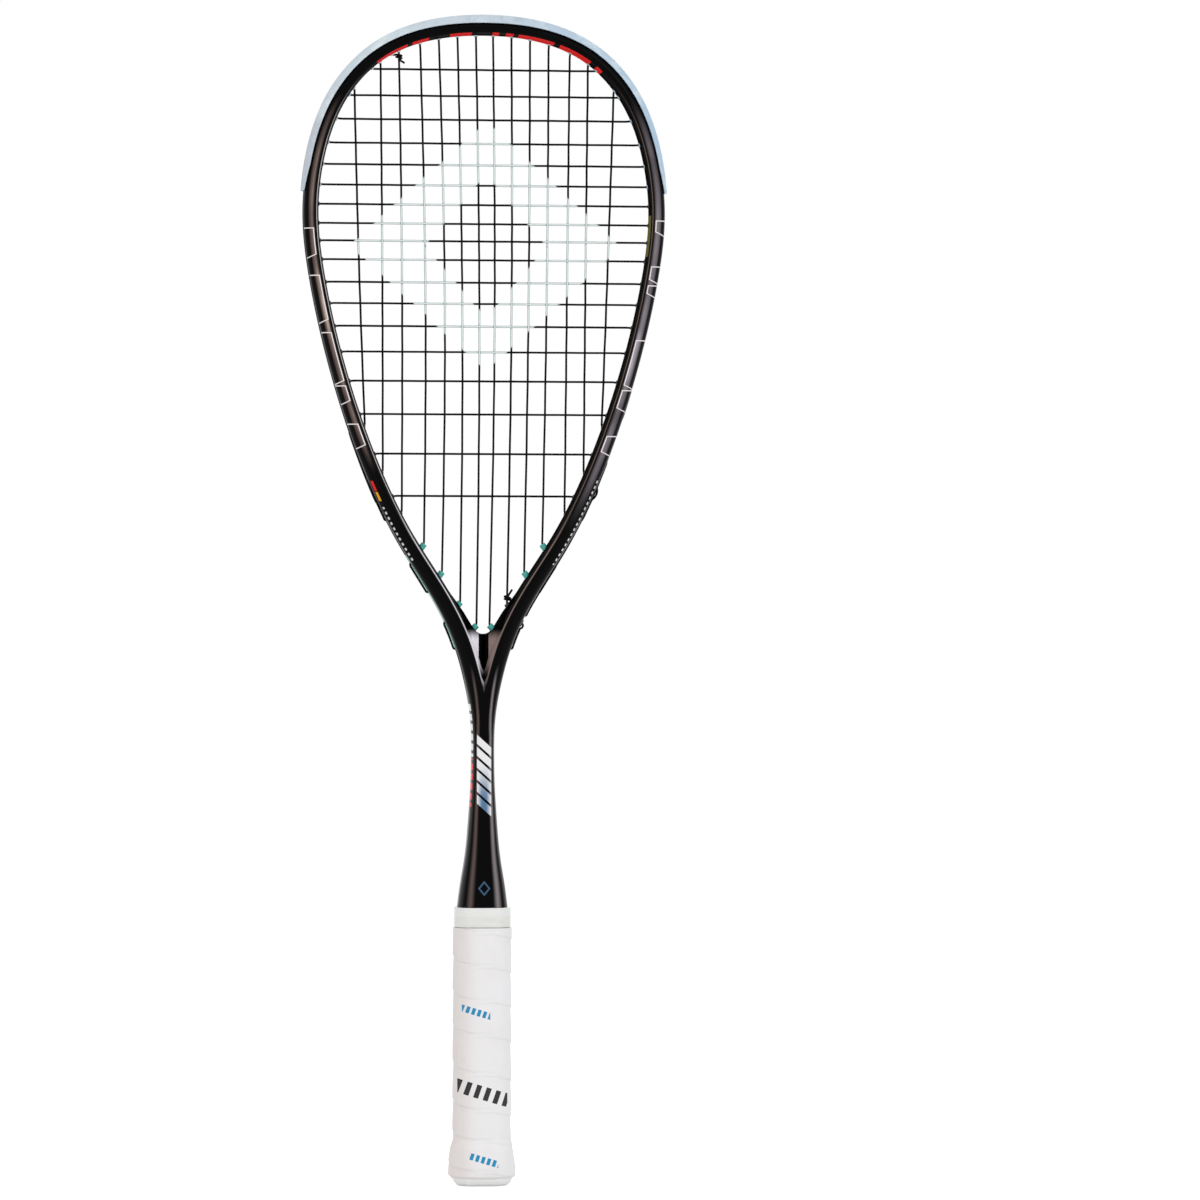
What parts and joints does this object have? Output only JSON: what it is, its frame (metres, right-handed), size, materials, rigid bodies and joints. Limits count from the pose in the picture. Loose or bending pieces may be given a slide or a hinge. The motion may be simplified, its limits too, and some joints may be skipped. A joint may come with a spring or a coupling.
{
  "type": "squash racket",
  "caption": "Squash racket with a teardrop head, an open throat, a woven string bed, a bumper guard and an overlapping wound grip.",
  "frame": {"origin": "middle of the butt cap's flat end face, on which the racket stands upright", "axes": "+Z from the butt to the head along the shaft, +X across the head to the viewer's right, -Y towards the viewer, so the string bed lies in the XZ plane"},
  "size_m": [0.2138, 0.0349, 0.6858],
  "materials": {
    "carbon": "gloss lacquer over carbon",
    "pale_plastic": "satin, pale blue grey",
    "black_plastic": "satin black",
    "teal_plastic": "satin teal",
    "string": "smooth black",
    "foam": "moulded foam",
    "cap_plastic": "satin, light grey",
    "steel": "bright wire",
    "grip": "soft white tape",
    "band": "smooth light grey tape"
  },
  "bodies": {
    "root": {"frame": "carbon", "bumper_guard": "pale_plastic", "side_grommet_strip_left": "black_plastic", "side_grommet_strip_right": "black_plastic", "throat_grommet_strip_left": "teal_plastic", "throat_grommet_strip_right": "teal_plastic", "tie_off_grommet": "black_plastic", "racket_string": "string", "handle_core": "foam", "butt_cap": "cap_plastic", "butt_staple_front": "steel", "butt_staple_rear": "steel", "grip_tape": "grip", "finishing_tape": "band"}
  },
  "joints": []
}
